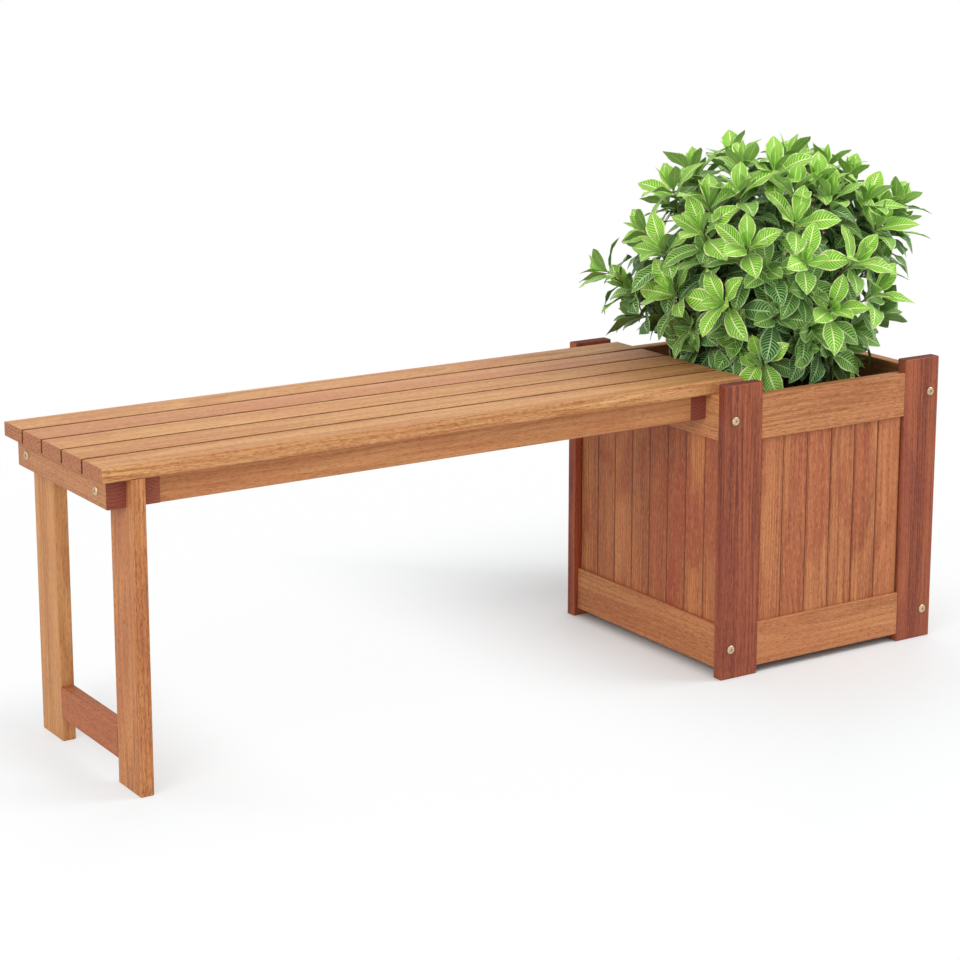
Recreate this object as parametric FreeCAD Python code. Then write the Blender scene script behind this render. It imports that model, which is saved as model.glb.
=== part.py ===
import FreeCAD, Part
import math
import os

from FreeCAD import Rotation, Vector

# A garden bench whose seat runs into a square planter. Sizes are in millimetres.
# X runs along the seat towards the planter, Y from the front to the back, Z up from the floor.

# Seat
seat_height = 450.0
slat_count = 5
slat_length = 1033.0
slat_width = 60.0
slat_gap = 5.0
slat_thickness = 20.0
slat_edge_radius = 2.0
slat_overhang = 12.0
slat_reach = 63.0  # how far the slats run past the planter's left side

# Frame under the seat
crossbar_thickness = 28.0
crossbar_height = 40.0
crossbar_end_setback = 17.0  # from the seat's long edges
apron_thickness = 20.0

# Leg frame
leg_width = 68.0
leg_thickness = 20.0
leg_bolt_offset = 13.0  # from the leg's centre line, towards the middle of the seat
stretcher_height = 46.0
stretcher_floor_gap = 34.0

# Planter frame
planter_width = 416.0
post_width = 68.0
post_thickness = 19.0
post_to_slat_gap = 22.0
rail_height = 68.0
rail_floor_gap = 12.0
front_rail_setback = 1.0
side_rail_thickness = 20.0
side_rail_setback = 7.0

# Tongue and groove boards
board_thickness = 9.0
front_board_count = 6
side_board_count = 8
tongue_length = 4.0
tongue_thickness = 3.0
joint_gap = 0.3
joint_slack = 0.15
board_edge_chamfer = 0.8
rail_groove_depth = 8.0
board_end_gap = 1.0

# Planter floor
ledger_size = 20.0
ledger_rise = 8.0  # above the underside of the bottom rails
floor_board_count = 4
floor_board_thickness = 12.0
floor_gap = 6.0

# Bolts and their cross dowel nuts
bolt_diameter = 6.0
bolt_head_diameter = 13.0
bolt_head_height = 2.4
bolt_head_chamfer = 1.1
socket_width = 4.0
socket_depth = 1.8
bolt_hole_clearance = 0.2
nut_diameter = 10.0
nut_length = 14.0
nut_end_distance = 30.0
bolt_past_nut = 4.0

# Screws and dowels
screw_diameter = 4.0
screw_head_diameter = 8.0
screw_cover = 6.0
ledger_screw_count = 3
ledger_screw_grip = 10.0
ledger_screw_end_room = 25.0
dowel_diameter = 8.0
dowel_depth = 20.0
dowel_hole_slack = 0.1
arris_chamfer = 1.2

# Facets of rods, screws and dowels that hide in the wood
hidden_rod_sides = 8

# Soil and plant
soil_below_rim = 85.0
soil_mound = 15.0
soil_mound_inset = 70.0
soft_clearance = 0.3
stem_count = 7
stem_radius = 4.5
stem_planting_depth = 60.0
stem_ring_radius = 55.0
stem_tip_radius = 125.0
crown_radius = 262.0
crown_height = 345.0
crown_above_rim = 5.0
crown_level_count = 8
crown_belly_level = 3  # the crown is widest here
crown_foot_taper = 0.6
crown_top_taper = 0.97
clump_count = 12  # clumps of leaves round the crown
clump_depth = 0.17

# Places that follow from the sizes above
slat_underside = seat_height - slat_thickness
seat_width = slat_count * slat_width + (slat_count - 1) * slat_gap
planter_depth = seat_width + 2 * (post_thickness + post_to_slat_gap)
seat_front = post_thickness + post_to_slat_gap
seat_back = seat_front + seat_width
bar_front = seat_front + crossbar_end_setback
bar_back = seat_back - crossbar_end_setback
bar_bottom = slat_underside - crossbar_height
leg_left = slat_overhang + crossbar_thickness
inner_bar_left = leg_left + leg_thickness
planter_left = slat_length - slat_reach
planter_right = planter_left + planter_width
left_rail_face = planter_left + side_rail_setback
left_rail_inside = left_rail_face + side_rail_thickness
right_rail_inside = planter_right - side_rail_setback - side_rail_thickness
planter_bar_left = left_rail_face - crossbar_thickness
front_rail_thickness = post_thickness - front_rail_setback
top_rail_bottom = slat_underside - rail_height
bottom_rail_top = rail_floor_gap + rail_height
opening_left = planter_left + post_width
opening_right = planter_right - post_width
back_post_front = planter_depth - post_thickness
bolt_y_front = seat_front + leg_width / 2 + leg_bolt_offset
bolt_y_back = seat_back - leg_width / 2 - leg_bolt_offset
bar_bolt_z = slat_underside - crossbar_height / 2
floor_level = rail_floor_gap + ledger_rise + ledger_size + floor_board_thickness
soil_level = slat_underside - soil_below_rim
planter_centre = Vector((planter_left + planter_right) / 2, planter_depth / 2, 0)
crown_bottom = seat_height + crown_above_rim
crown_top = crown_bottom + crown_height

# The origin is on the floor, under the middle of the whole bench and its plant.
origin = Vector(max(planter_right, planter_centre.x + crown_radius) / 2, planter_depth / 2, 0)

along_x = Vector(1, 0, 0)
along_y = Vector(0, 1, 0)
along_z = Vector(0, 0, 1)


def block(low, high):
    return Part.makeBox(high.x - low.x, high.y - low.y, high.z - low.z, low)


def rod(start, direction, diameter, length):
    """Rod or hole that stays hidden in the wood. Its few flat sides keep the model light."""
    turn = Rotation(along_z, direction)
    ring = []
    for step in range(hidden_rod_sides + 1):
        angle = 2 * math.pi * (step + 0.5) / hidden_rod_sides
        ring.append(start + turn * Vector(diameter / 2 * math.cos(angle), diameter / 2 * math.sin(angle), 0))
    run = Vector(direction).normalize() * length
    return Part.Face(Part.makePolygon(ring)).extrude(run)


def stacked_solid(outlines):
    """Solid with flat faces through closed outlines that lie one above the other."""
    faces = [Part.Face(Part.makePolygon(outlines[0])), Part.Face(Part.makePolygon(outlines[-1]))]
    for lower, upper in zip(outlines, outlines[1:]):
        for index in range(len(lower) - 1):
            corners = [lower[index], lower[index + 1], upper[index + 1], upper[index], lower[index]]
            faces.append(Part.Face(Part.makePolygon(corners)))
    return Part.Solid(Part.Shell(faces))


def edges_along(shape, direction):
    found = []
    for edge in shape.Edges:
        run = edge.Vertexes[-1].Point - edge.Vertexes[0].Point
        if run.Length > 0 and abs(run.normalize().dot(direction)) > 0.999:
            found.append(edge)
    return found


def chamfered(shape, direction):
    return shape.makeChamfer(arris_chamfer, edges_along(shape, direction))


def cut_all(shape, tools):
    if not tools:
        return shape
    return shape.cut(tools)


def save(name, solids):
    moved = [solid.translated(-origin) for solid in solids]
    shape = moved[0] if len(moved) == 1 else Part.makeCompound(moved)
    shape.exportStep("parts/" + name + ".step")


# Fasteners. Each one has a matching cutter for the wood that it passes through.

def connector_bolt(head_seat, direction, length):
    """Bolt with a low head and a hexagon socket; direction runs from the head to the tip."""
    radius = bolt_head_diameter / 2
    rim = bolt_head_height - bolt_head_chamfer
    outward = -direction
    disc = Part.makeCylinder(radius, rim, head_seat, outward)
    crest_seat = head_seat + outward * rim
    crest = Part.makeCone(radius, radius - bolt_head_chamfer, bolt_head_chamfer, crest_seat, outward)
    turn = Rotation(along_z, direction)
    corner = socket_width / math.sqrt(3)
    top = head_seat + outward * bolt_head_height
    ring = []
    for step in range(7):
        angle = math.radians(60 * step)
        ring.append(top + turn * Vector(corner * math.cos(angle), corner * math.sin(angle), 0))
    socket = Part.Face(Part.makePolygon(ring)).extrude(direction * socket_depth)
    shank = rod(head_seat, direction, bolt_diameter, length)
    return disc.fuse([crest, shank]).removeSplitter().cut(socket)


def bolt_hole(head_seat, direction, length):
    return rod(head_seat, direction, bolt_diameter + 2 * bolt_hole_clearance, length + 1)


def cross_nut(centre, direction, bolt_direction):
    """Barrel nut lying along direction, with its threaded bore across it."""
    body = rod(centre - direction * (nut_length / 2), direction, nut_diameter, nut_length)
    bore = rod(centre - bolt_direction * nut_diameter, bolt_direction, bolt_diameter, 2 * nut_diameter)
    return body.cut(bore)


def nut_hole(centre, direction, reach):
    """Hole for a barrel nut, drilled from the side that direction points to."""
    start = centre - direction * (nut_length / 2 + 0.5)
    return rod(start, direction, nut_diameter + 0.2, nut_length / 2 + 0.5 + reach)


def screw(head_face, direction, length):
    """Countersunk wood screw, its head flush with the face that it is driven into."""
    depth = (screw_head_diameter - screw_diameter) / 2
    turn = Rotation(along_z, direction)
    outlines = []
    for radius, along in (
        (screw_head_diameter / 2, 0),
        (screw_diameter / 2, depth),
        (screw_diameter / 2, length),
    ):
        ring = []
        for step in range(hidden_rod_sides + 1):
            angle = 2 * math.pi * (step + 0.5) / hidden_rod_sides
            ring.append(head_face + turn * Vector(radius * math.cos(angle), radius * math.sin(angle), along))
        outlines.append(ring)
    return stacked_solid(outlines)


def dowel(joint, direction, depth_before, depth_after):
    return rod(joint - direction * depth_before, direction, dowel_diameter, depth_before + depth_after)


def dowel_hole(joint, direction, depth_before, depth_after):
    start = joint - direction * (depth_before + 1)
    length = depth_before + depth_after + 2
    return rod(start, direction, dowel_diameter + 2 * dowel_hole_slack, length)


# Seat

def slat_centres():
    return [seat_front + slat_width / 2 + index * (slat_width + slat_gap) for index in range(slat_count)]


def bar_centres():
    return [
        slat_overhang + crossbar_thickness / 2,
        inner_bar_left + crossbar_thickness / 2,
        planter_bar_left + crossbar_thickness / 2,
    ]


def slat_screws():
    """Screws that come up through the three crossbars, one into each slat."""
    length = crossbar_height + slat_thickness - screw_cover
    made = []
    for x in bar_centres():
        for y in slat_centres():
            made.append(screw(Vector(x, y, bar_bottom), along_z, length))
    return made


def seat_slats(screws):
    made = []
    for y in slat_centres():
        low = Vector(0, y - slat_width / 2, slat_underside)
        high = Vector(slat_length, y + slat_width / 2, seat_height)
        slat = block(low, high)
        long_edges = edges_along(slat, along_x)
        upper_edges = [edge for edge in long_edges if edge.BoundBox.Center.z > seat_height - 1]
        slat = slat.makeFillet(slat_edge_radius, upper_edges)
        long_edges = edges_along(slat, along_x)
        lower_edges = [edge for edge in long_edges if edge.BoundBox.Center.z < slat_underside + 1]
        slat = slat.makeChamfer(arris_chamfer, lower_edges)
        slat = cut_all(slat, [one for one in screws if abs(one.BoundBox.Center.y - y) < slat_width / 2])
        made.append(slat)
    return made


def leg_bolt_places():
    return [Vector(slat_overhang, y, bar_bolt_z) for y in (bolt_y_front, bolt_y_back)]


def leg_nut_places():
    x = inner_bar_left + crossbar_thickness / 2
    return [Vector(x, y, bar_bolt_z) for y in (bolt_y_front, bolt_y_back)]


def leg_bolt_length():
    return leg_nut_places()[0].x - slat_overhang + nut_diameter / 2 + bolt_past_nut


def tie_bolt_places():
    """Bolts from inside the planter that hold the seat frame to the planter."""
    return [Vector(left_rail_inside, y, bar_bolt_z) for y in (bolt_y_front, bolt_y_back)]


def tie_nut_places():
    x = planter_bar_left + crossbar_thickness / 2
    return [Vector(x, y, bar_bolt_z) for y in (bolt_y_front, bolt_y_back)]


def tie_bolt_length():
    return left_rail_inside - tie_nut_places()[0].x + nut_diameter / 2 + bolt_past_nut


def bar_dowel_depth():
    """Short enough to stay clear of the screws in the middle of a crossbar."""
    return crossbar_thickness / 2 - screw_diameter / 2 - 1.5


def apron_dowel_joints():
    """Joint points of the apron dowels, each with the depth before and after it along X."""
    joints = []
    for y in (bar_front + apron_thickness / 2, bar_back - apron_thickness / 2):
        for z in (bar_bottom + crossbar_height / 4, bar_bottom + crossbar_height * 3 / 4):
            place = Vector(inner_bar_left + crossbar_thickness, y, z)
            joints.append((place, bar_dowel_depth(), dowel_depth))
            joints.append((Vector(planter_bar_left, y, z), dowel_depth, bar_dowel_depth()))
    return joints


def apron_dowel_holes():
    return [dowel_hole(point, along_x, before, after) for point, before, after in apron_dowel_joints()]


def crossbar(left):
    low = Vector(left, bar_front, bar_bottom)
    high = Vector(left + crossbar_thickness, bar_back, slat_underside)
    return chamfered(block(low, high), along_y)


def seat_crossbars(screws):
    outer = crossbar(slat_overhang)
    inner = crossbar(inner_bar_left)
    planter = crossbar(planter_bar_left)
    bolt_holes = [bolt_hole(point, along_x, leg_bolt_length()) for point in leg_bolt_places()]
    nut_holes = [nut_hole(point, -along_z, crossbar_height) for point in leg_nut_places()]
    tie_holes = [bolt_hole(point, -along_x, tie_bolt_length()) for point in tie_bolt_places()]
    tie_nut_holes = [nut_hole(point, -along_z, crossbar_height) for point in tie_nut_places()]
    outer = cut_all(outer, screws + bolt_holes)
    inner = cut_all(inner, screws + bolt_holes + nut_holes + apron_dowel_holes())
    planter = cut_all(planter, screws + tie_holes + tie_nut_holes + apron_dowel_holes())
    return outer, inner, planter


def aprons():
    made = []
    for low_y in (bar_front, bar_back - apron_thickness):
        low = Vector(inner_bar_left + crossbar_thickness, low_y, bar_bottom)
        high = Vector(planter_bar_left, low_y + apron_thickness, slat_underside)
        apron = chamfered(block(low, high), along_x)
        made.append(cut_all(apron, apron_dowel_holes()))
    return made


# Leg frame

def stretcher_dowel_joints():
    joints = []
    for y in (seat_front + leg_width, seat_back - leg_width):
        for part in (0.25, 0.75):
            z = stretcher_floor_gap + stretcher_height * part
            joints.append(Vector(leg_left + leg_thickness / 2, y, z))
    return joints


def stretcher_dowel_holes():
    return [dowel_hole(point, along_y, dowel_depth, dowel_depth) for point in stretcher_dowel_joints()]


def legs():
    made = []
    holes = [bolt_hole(point, along_x, leg_bolt_length()) for point in leg_bolt_places()]
    for low_y in (seat_front, seat_back - leg_width):
        low = Vector(leg_left, low_y, 0)
        high = Vector(inner_bar_left, low_y + leg_width, slat_underside)
        leg = chamfered(block(low, high), along_z)
        foot = [edge for edge in leg.Edges if edge.BoundBox.ZMax < 0.01]
        leg = leg.makeChamfer(arris_chamfer, foot)
        made.append(cut_all(leg, holes + stretcher_dowel_holes()))
    return made


def leg_stretcher():
    low = Vector(leg_left, seat_front + leg_width, stretcher_floor_gap)
    high = Vector(inner_bar_left, seat_back - leg_width, stretcher_floor_gap + stretcher_height)
    bar = chamfered(block(low, high), along_y)
    return cut_all(bar, stretcher_dowel_holes())


# Planter frame

def rail_centre_heights():
    return top_rail_bottom + rail_height / 2, rail_floor_gap + rail_height / 2


def corner_bolt_places():
    """Head seats of the eight corner bolts, each with the direction that it runs in."""
    places = []
    inset = side_rail_setback + side_rail_thickness / 2
    for x in (planter_left + inset, planter_right - inset):
        for z in rail_centre_heights():
            places.append((Vector(x, 0, z), along_y))
            places.append((Vector(x, planter_depth, z), -along_y))
    return places


def corner_bolt_length():
    return post_thickness + nut_end_distance + nut_diameter / 2 + bolt_past_nut


def corner_nuts_and_holes():
    nuts = []
    holes = []
    middle = planter_centre.x
    for seat, direction in corner_bolt_places():
        inward = along_x if seat.x < middle else -along_x
        centre = seat + direction * (post_thickness + nut_end_distance)
        nuts.append(cross_nut(centre, along_x, direction))
        holes.append(nut_hole(centre, inward, side_rail_thickness))
    return nuts, holes


def corner_bolt_holes():
    return [bolt_hole(seat, direction, corner_bolt_length()) for seat, direction in corner_bolt_places()]


def rail_dowel_joints():
    joints = []
    inset = post_thickness - front_rail_thickness / 2
    for y in (inset, planter_depth - inset):
        for x in (opening_left, opening_right):
            for z in rail_centre_heights():
                joints.append(Vector(x, y, z - rail_height / 4))
                joints.append(Vector(x, y, z + rail_height / 4))
    return joints


def rail_dowel_holes():
    return [dowel_hole(point, along_x, dowel_depth, dowel_depth) for point in rail_dowel_joints()]


def post(left, front):
    low = Vector(left, front, 0)
    high = Vector(left + post_width, front + post_thickness, seat_height)
    shape = block(low, high)
    shape = shape.makeChamfer(arris_chamfer, shape.Edges)
    return cut_all(shape, corner_bolt_holes() + rail_dowel_holes())


def grooved(rail, direction, centre, groove_z, inward):
    """Cuts the groove that the boards stand in, along the rail's inner edge."""
    width = board_thickness + 2 * joint_slack
    box = rail.BoundBox
    if direction is along_x:
        low = Vector(box.XMin, centre - width / 2, groove_z)
        high = Vector(box.XMax, centre + width / 2, groove_z + inward * rail_groove_depth)
    else:
        low = Vector(centre - width / 2, box.YMin, groove_z)
        high = Vector(centre + width / 2, box.YMax, groove_z + inward * rail_groove_depth)
    bottom = Vector(low.x, low.y, min(low.z, high.z))
    top = Vector(high.x, high.y, max(low.z, high.z))
    return rail.cut(block(bottom, top))


def front_or_back_rail(front, bottom):
    low = Vector(opening_left, front, bottom)
    high = Vector(opening_right, front + front_rail_thickness, bottom + rail_height)
    rail = chamfered(block(low, high), along_x)
    at_top = bottom > rail_floor_gap
    groove_z = bottom if at_top else bottom + rail_height
    rail = grooved(rail, along_x, front + front_rail_thickness / 2, groove_z, 1 if at_top else -1)
    holes = rail_dowel_holes()
    if not at_top:
        holes = holes + front_ledger_screws() + back_ledger_screws()
    return cut_all(rail, holes)


def side_rail(left, bottom, nut_holes):
    low = Vector(left, post_thickness, bottom)
    high = Vector(left + side_rail_thickness, back_post_front, bottom + rail_height)
    rail = chamfered(block(low, high), along_y)
    at_top = bottom > rail_floor_gap
    groove_z = bottom if at_top else bottom + rail_height
    rail = grooved(rail, along_y, left + side_rail_thickness / 2, groove_z, 1 if at_top else -1)
    tie_holes = [bolt_hole(point, -along_x, tie_bolt_length()) for point in tie_bolt_places()]
    return cut_all(rail, corner_bolt_holes() + nut_holes + tie_holes)


# Tongue and groove panels

def board_profile(cover):
    """Section of one board: U runs along the panel, V from its outer face inwards."""
    width = cover - joint_gap
    groove_thickness = tongue_thickness + 2 * joint_slack
    groove_length = tongue_length + joint_gap
    tongue_near = (board_thickness - tongue_thickness) / 2
    tongue_far = (board_thickness + tongue_thickness) / 2
    groove_near = (board_thickness - groove_thickness) / 2
    groove_far = (board_thickness + groove_thickness) / 2
    edge = board_edge_chamfer
    return [
        (edge, 0),
        (width - edge, 0),
        (width, edge),
        (width, groove_near),
        (width - groove_length, groove_near),
        (width - groove_length, groove_far),
        (width, groove_far),
        (width, board_thickness),
        (0, board_thickness),
        (0, tongue_far),
        (-tongue_length, tongue_far),
        (-tongue_length, tongue_near),
        (0, tongue_near),
        (0, edge),
        (edge, 0),
    ]


def boards(start, along, inwards, opening, count):
    """A row of boards that fills an opening, its first tongue against the first post."""
    cover = (opening - tongue_length) / count
    low = bottom_rail_top - rail_groove_depth + board_end_gap
    high = top_rail_bottom + rail_groove_depth - board_end_gap
    made = []
    for index in range(count):
        first = start + along * (tongue_length + index * cover)
        points = [first + along * u + inwards * v + along_z * low for u, v in board_profile(cover)]
        face = Part.Face(Part.makePolygon(points))
        made.append(face.extrude(along_z * (high - low)))
    return made


def front_boards():
    face = front_rail_setback + (front_rail_thickness - board_thickness) / 2
    start = Vector(opening_left, face, 0)
    return boards(start, along_x, along_y, opening_right - opening_left, front_board_count)


def back_boards():
    face = planter_depth - front_rail_setback - (front_rail_thickness - board_thickness) / 2
    start = Vector(opening_right, face, 0)
    return boards(start, -along_x, -along_y, opening_right - opening_left, front_board_count)


def left_boards():
    face = left_rail_face + (side_rail_thickness - board_thickness) / 2
    start = Vector(face, post_thickness, 0)
    return boards(start, along_y, along_x, back_post_front - post_thickness, side_board_count)


def right_boards():
    face = planter_right - side_rail_setback - (side_rail_thickness - board_thickness) / 2
    start = Vector(face, back_post_front, 0)
    return boards(start, -along_y, -along_x, back_post_front - post_thickness, side_board_count)


# Planter floor

def ledger_screws(front, direction):
    """Screws from inside, spread between the dowels at the ends of a bottom rail."""
    made = []
    first = opening_left + dowel_depth + ledger_screw_end_room
    last = opening_right - dowel_depth - ledger_screw_end_room
    z = rail_floor_gap + ledger_rise + ledger_size / 2
    for index in range(ledger_screw_count):
        x = first + (last - first) * index / (ledger_screw_count - 1)
        made.append(screw(Vector(x, front, z), direction, ledger_size + ledger_screw_grip))
    return made


def front_ledger_screws():
    return ledger_screws(post_thickness + ledger_size, -along_y)


def back_ledger_screws():
    return ledger_screws(back_post_front - ledger_size, along_y)


def ledger(low_y, screws):
    bottom = rail_floor_gap + ledger_rise
    low = Vector(left_rail_inside + 1, low_y, bottom)
    high = Vector(right_rail_inside - 1, low_y + ledger_size, bottom + ledger_size)
    return cut_all(block(low, high), screws)


def floor_boards():
    room = right_rail_inside - left_rail_inside
    width = (room - (floor_board_count + 1) * floor_gap) / floor_board_count
    made = []
    for index in range(floor_board_count):
        left = left_rail_inside + floor_gap + index * (width + floor_gap)
        low = Vector(left, post_thickness + 1, floor_level - floor_board_thickness)
        high = Vector(left + width, back_post_front - 1, floor_level)
        made.append(block(low, high))
    return made


# Soil and plant

def stems():
    """Stems that rise from a ring in the soil and lean outwards, up to the crown's underside."""
    made = []
    bottom = soil_level + soil_mound - stem_planting_depth
    top = crown_bottom - soft_clearance
    for index in range(stem_count):
        turn = 2 * math.pi * index / stem_count
        outward = Vector(math.cos(turn), math.sin(turn), 0)
        start = planter_centre + outward * stem_ring_radius + along_z * bottom
        end = planter_centre + outward * stem_tip_radius + along_z * top
        run = end - start
        stem = rod(start, run, 2 * stem_radius, run.Length + 2 * stem_radius)
        above = Part.makeBox(60, 60, 60, end - Vector(30, 30, 0))
        made.append(stem.cut(above))
    return made


def rectangle(low, high, z):
    return [
        Vector(low.x, low.y, z),
        Vector(high.x, low.y, z),
        Vector(high.x, high.y, z),
        Vector(low.x, high.y, z),
        Vector(low.x, low.y, z),
    ]


def soil(stem_solids):
    """Soil that fills the box on top of the floor boards, a little higher in the middle."""
    gap = Vector(soft_clearance, soft_clearance, 0)
    low = Vector(left_rail_inside, post_thickness, floor_level) + gap
    high = Vector(right_rail_inside, back_post_front, soil_level) - gap
    slope = Vector(soil_mound_inset, soil_mound_inset, 0)
    outlines = [
        rectangle(low, high, floor_level),
        rectangle(low, high, soil_level),
        rectangle(low + slope, high - slope, soil_level + soil_mound),
    ]
    return stacked_solid(outlines).cut(stem_solids)


def crown_ring(level):
    """Points round the crown at one level. Clumps of leaves swell out in rows, each row turned by half a
    clump from the one below."""
    if level < crown_belly_level:
        taper = crown_foot_taper * (1 - level / crown_belly_level) ** 3
    else:
        climb = (level - crown_belly_level) / (crown_level_count - crown_belly_level)
        taper = crown_top_taper * climb ** 2
    body = crown_radius * math.sqrt(1 - taper)
    height = crown_bottom + crown_height * level / crown_level_count
    points = []
    for index in range(2 * clump_count):
        turn = math.pi * index / clump_count
        reach = body if is_clump(index, level) else body * (1 - clump_depth)
        points.append(planter_centre + Vector(reach * math.cos(turn), reach * math.sin(turn), height))
    return points


def is_clump(index, level):
    return (index + level + crown_belly_level) % 2 == 0


def crown():
    """The leaves' envelope: a dome of pointed clumps, fullest a little below the middle."""
    rings = [crown_ring(level) for level in range(crown_level_count + 1)]
    outlines = [rings[0] + rings[0][:1], rings[-1] + rings[-1][:1]]
    for level in range(crown_level_count):
        lower, upper = rings[level], rings[level + 1]
        for index in range(len(lower)):
            following = (index + 1) % len(lower)
            near, far, above, beyond = lower[index], lower[following], upper[index], upper[following]
            if is_clump(index, level):
                outlines += [[near, far, above, near], [far, beyond, above, far]]
            else:
                outlines += [[near, far, beyond, near], [near, beyond, above, near]]
    faces = [Part.Face(Part.makePolygon(outline)) for outline in outlines]
    return Part.Solid(Part.Shell(faces))


def main():
    os.makedirs("parts", exist_ok=True)

    screws = slat_screws()
    for index, slat in enumerate(seat_slats(screws)):
        save("seat_slat_%d" % (index + 1), [slat])
    save("slat_screws", screws)

    outer, inner, planter = seat_crossbars(screws)
    save("outer_crossbar", [outer])
    save("inner_crossbar", [inner])
    save("planter_crossbar", [planter])
    front_apron, back_apron = aprons()
    save("front_apron", [front_apron])
    save("back_apron", [back_apron])
    save("apron_dowels", [dowel(p, along_x, a, b) for p, a, b in apron_dowel_joints()])

    front_leg, back_leg = legs()
    save("front_leg", [front_leg])
    save("back_leg", [back_leg])
    save("leg_stretcher", [leg_stretcher()])
    places = stretcher_dowel_joints()
    save("stretcher_dowels", [dowel(p, along_y, dowel_depth, dowel_depth) for p in places])
    save("leg_bolts", [connector_bolt(p, along_x, leg_bolt_length()) for p in leg_bolt_places()])
    save("leg_bolt_nuts", [cross_nut(p, along_z, along_x) for p in leg_nut_places()])
    save("tie_bolts", [connector_bolt(p, -along_x, tie_bolt_length()) for p in tie_bolt_places()])
    save("tie_bolt_nuts", [cross_nut(p, along_z, along_x) for p in tie_nut_places()])

    save("front_left_post", [post(planter_left, 0)])
    save("front_right_post", [post(opening_right, 0)])
    save("back_left_post", [post(planter_left, back_post_front)])
    save("back_right_post", [post(opening_right, back_post_front)])
    save("front_top_rail", [front_or_back_rail(front_rail_setback, top_rail_bottom)])
    save("front_bottom_rail", [front_or_back_rail(front_rail_setback, rail_floor_gap)])
    save("back_top_rail", [front_or_back_rail(back_post_front, top_rail_bottom)])
    save("back_bottom_rail", [front_or_back_rail(back_post_front, rail_floor_gap)])
    save("rail_dowels", [dowel(p, along_x, dowel_depth, dowel_depth) for p in rail_dowel_joints()])

    nuts, nut_holes = corner_nuts_and_holes()
    save("left_top_rail", [side_rail(left_rail_face, top_rail_bottom, nut_holes)])
    save("left_bottom_rail", [side_rail(left_rail_face, rail_floor_gap, nut_holes)])
    save("right_top_rail", [side_rail(right_rail_inside, top_rail_bottom, nut_holes)])
    save("right_bottom_rail", [side_rail(right_rail_inside, rail_floor_gap, nut_holes)])
    length = corner_bolt_length()
    bolts = [connector_bolt(seat, direction, length) for seat, direction in corner_bolt_places()]
    save("front_corner_bolts", bolts[0::2])
    save("back_corner_bolts", bolts[1::2])
    save("corner_bolt_nuts", nuts)

    save("front_boards", front_boards())
    save("back_boards", back_boards())
    save("left_boards", left_boards())
    save("right_boards", right_boards())

    front_screws = front_ledger_screws()
    back_screws = back_ledger_screws()
    save("front_ledger", [ledger(post_thickness, front_screws)])
    save("back_ledger", [ledger(back_post_front - ledger_size, back_screws)])
    save("ledger_screws", front_screws + back_screws)
    for index, board in enumerate(floor_boards()):
        save("floor_board_%d" % (index + 1), [board])

    stem_solids = stems()
    save("plant_stems", stem_solids)
    save("potting_soil", [soil(stem_solids)])
    save("plant_crown", [crown()])


main()
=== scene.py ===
import math
import random

import bmesh
import bpy
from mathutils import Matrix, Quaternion, Vector


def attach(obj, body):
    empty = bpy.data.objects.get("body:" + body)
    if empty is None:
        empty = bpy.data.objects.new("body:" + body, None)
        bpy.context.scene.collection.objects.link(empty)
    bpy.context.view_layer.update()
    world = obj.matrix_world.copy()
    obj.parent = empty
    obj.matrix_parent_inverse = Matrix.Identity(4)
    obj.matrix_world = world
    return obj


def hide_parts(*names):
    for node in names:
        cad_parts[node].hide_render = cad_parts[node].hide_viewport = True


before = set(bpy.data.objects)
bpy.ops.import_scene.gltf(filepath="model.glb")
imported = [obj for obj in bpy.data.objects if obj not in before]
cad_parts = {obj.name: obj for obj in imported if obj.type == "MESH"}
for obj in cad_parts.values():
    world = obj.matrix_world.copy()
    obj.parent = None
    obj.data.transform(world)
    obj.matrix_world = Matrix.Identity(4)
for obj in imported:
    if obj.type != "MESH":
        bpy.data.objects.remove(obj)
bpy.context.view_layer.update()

scene = bpy.context.scene
goldenAngle = 2.39996
print("frame loaded, nodes:", len(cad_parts))


def srgb(red, green, blue):
    # screen colour, 0 to 255, to the linear colour that shaders take
    parts = [value / 255 for value in (red, green, blue)]
    linear = (part / 12.92 if part < 0.04045 else ((part + 0.055) / 1.055) ** 2.4 for part in parts)
    return (*linear, 1.0)


def plug(socket, value):
    if isinstance(value, bpy.types.NodeSocket):
        socket.id_data.links.new(value, socket)
    else:
        socket.default_value = value


def newNode(tree, kind, **settings):
    node = tree.nodes.new(kind)
    for name, value in settings.items():
        setattr(node, name, value)
    return node


def addNode(kind, inputs, **settings):
    # goes in the tree that its linked values come from
    links = [value for value in inputs.values() if isinstance(value, bpy.types.NodeSocket)]
    node = newNode(links[0].id_data, kind, **settings)
    for socket, value in inputs.items():
        plug(node.inputs[socket], value)
    return node


def calc(operation, first, second=0.0):
    return addNode("ShaderNodeMath", {0: first, 1: second}, operation=operation).outputs[0]


def plus(first, second):
    return calc("ADD", first, second)


def minus(first, second):
    return calc("SUBTRACT", first, second)


def times(first, second):
    return calc("MULTIPLY", first, second)


def clamped(value):
    return addNode("ShaderNodeClamp", {0: value}).outputs[0]


def between(share, low, high):
    inputs = {"Value": share, "To Min": low, "To Max": high}
    return addNode("ShaderNodeMapRange", inputs).outputs[0]


def ease(value, low, high, newLow=0.0, newHigh=1.0):
    inputs = {"Value": value, "From Min": low, "From Max": high,
              "To Min": newLow, "To Max": newHigh}
    return addNode("ShaderNodeMapRange", inputs, interpolation_type="SMOOTHSTEP").outputs[0]


def vectorCalc(operation, first, second=(0, 0, 0)):
    node = addNode("ShaderNodeVectorMath", {0: first, 1: second}, operation=operation)
    return node.outputs["Value" if operation in ("LENGTH", "DOT_PRODUCT") else "Vector"]


def stretch(vector, factors):
    return vectorCalc("MULTIPLY", vector, factors)


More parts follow.
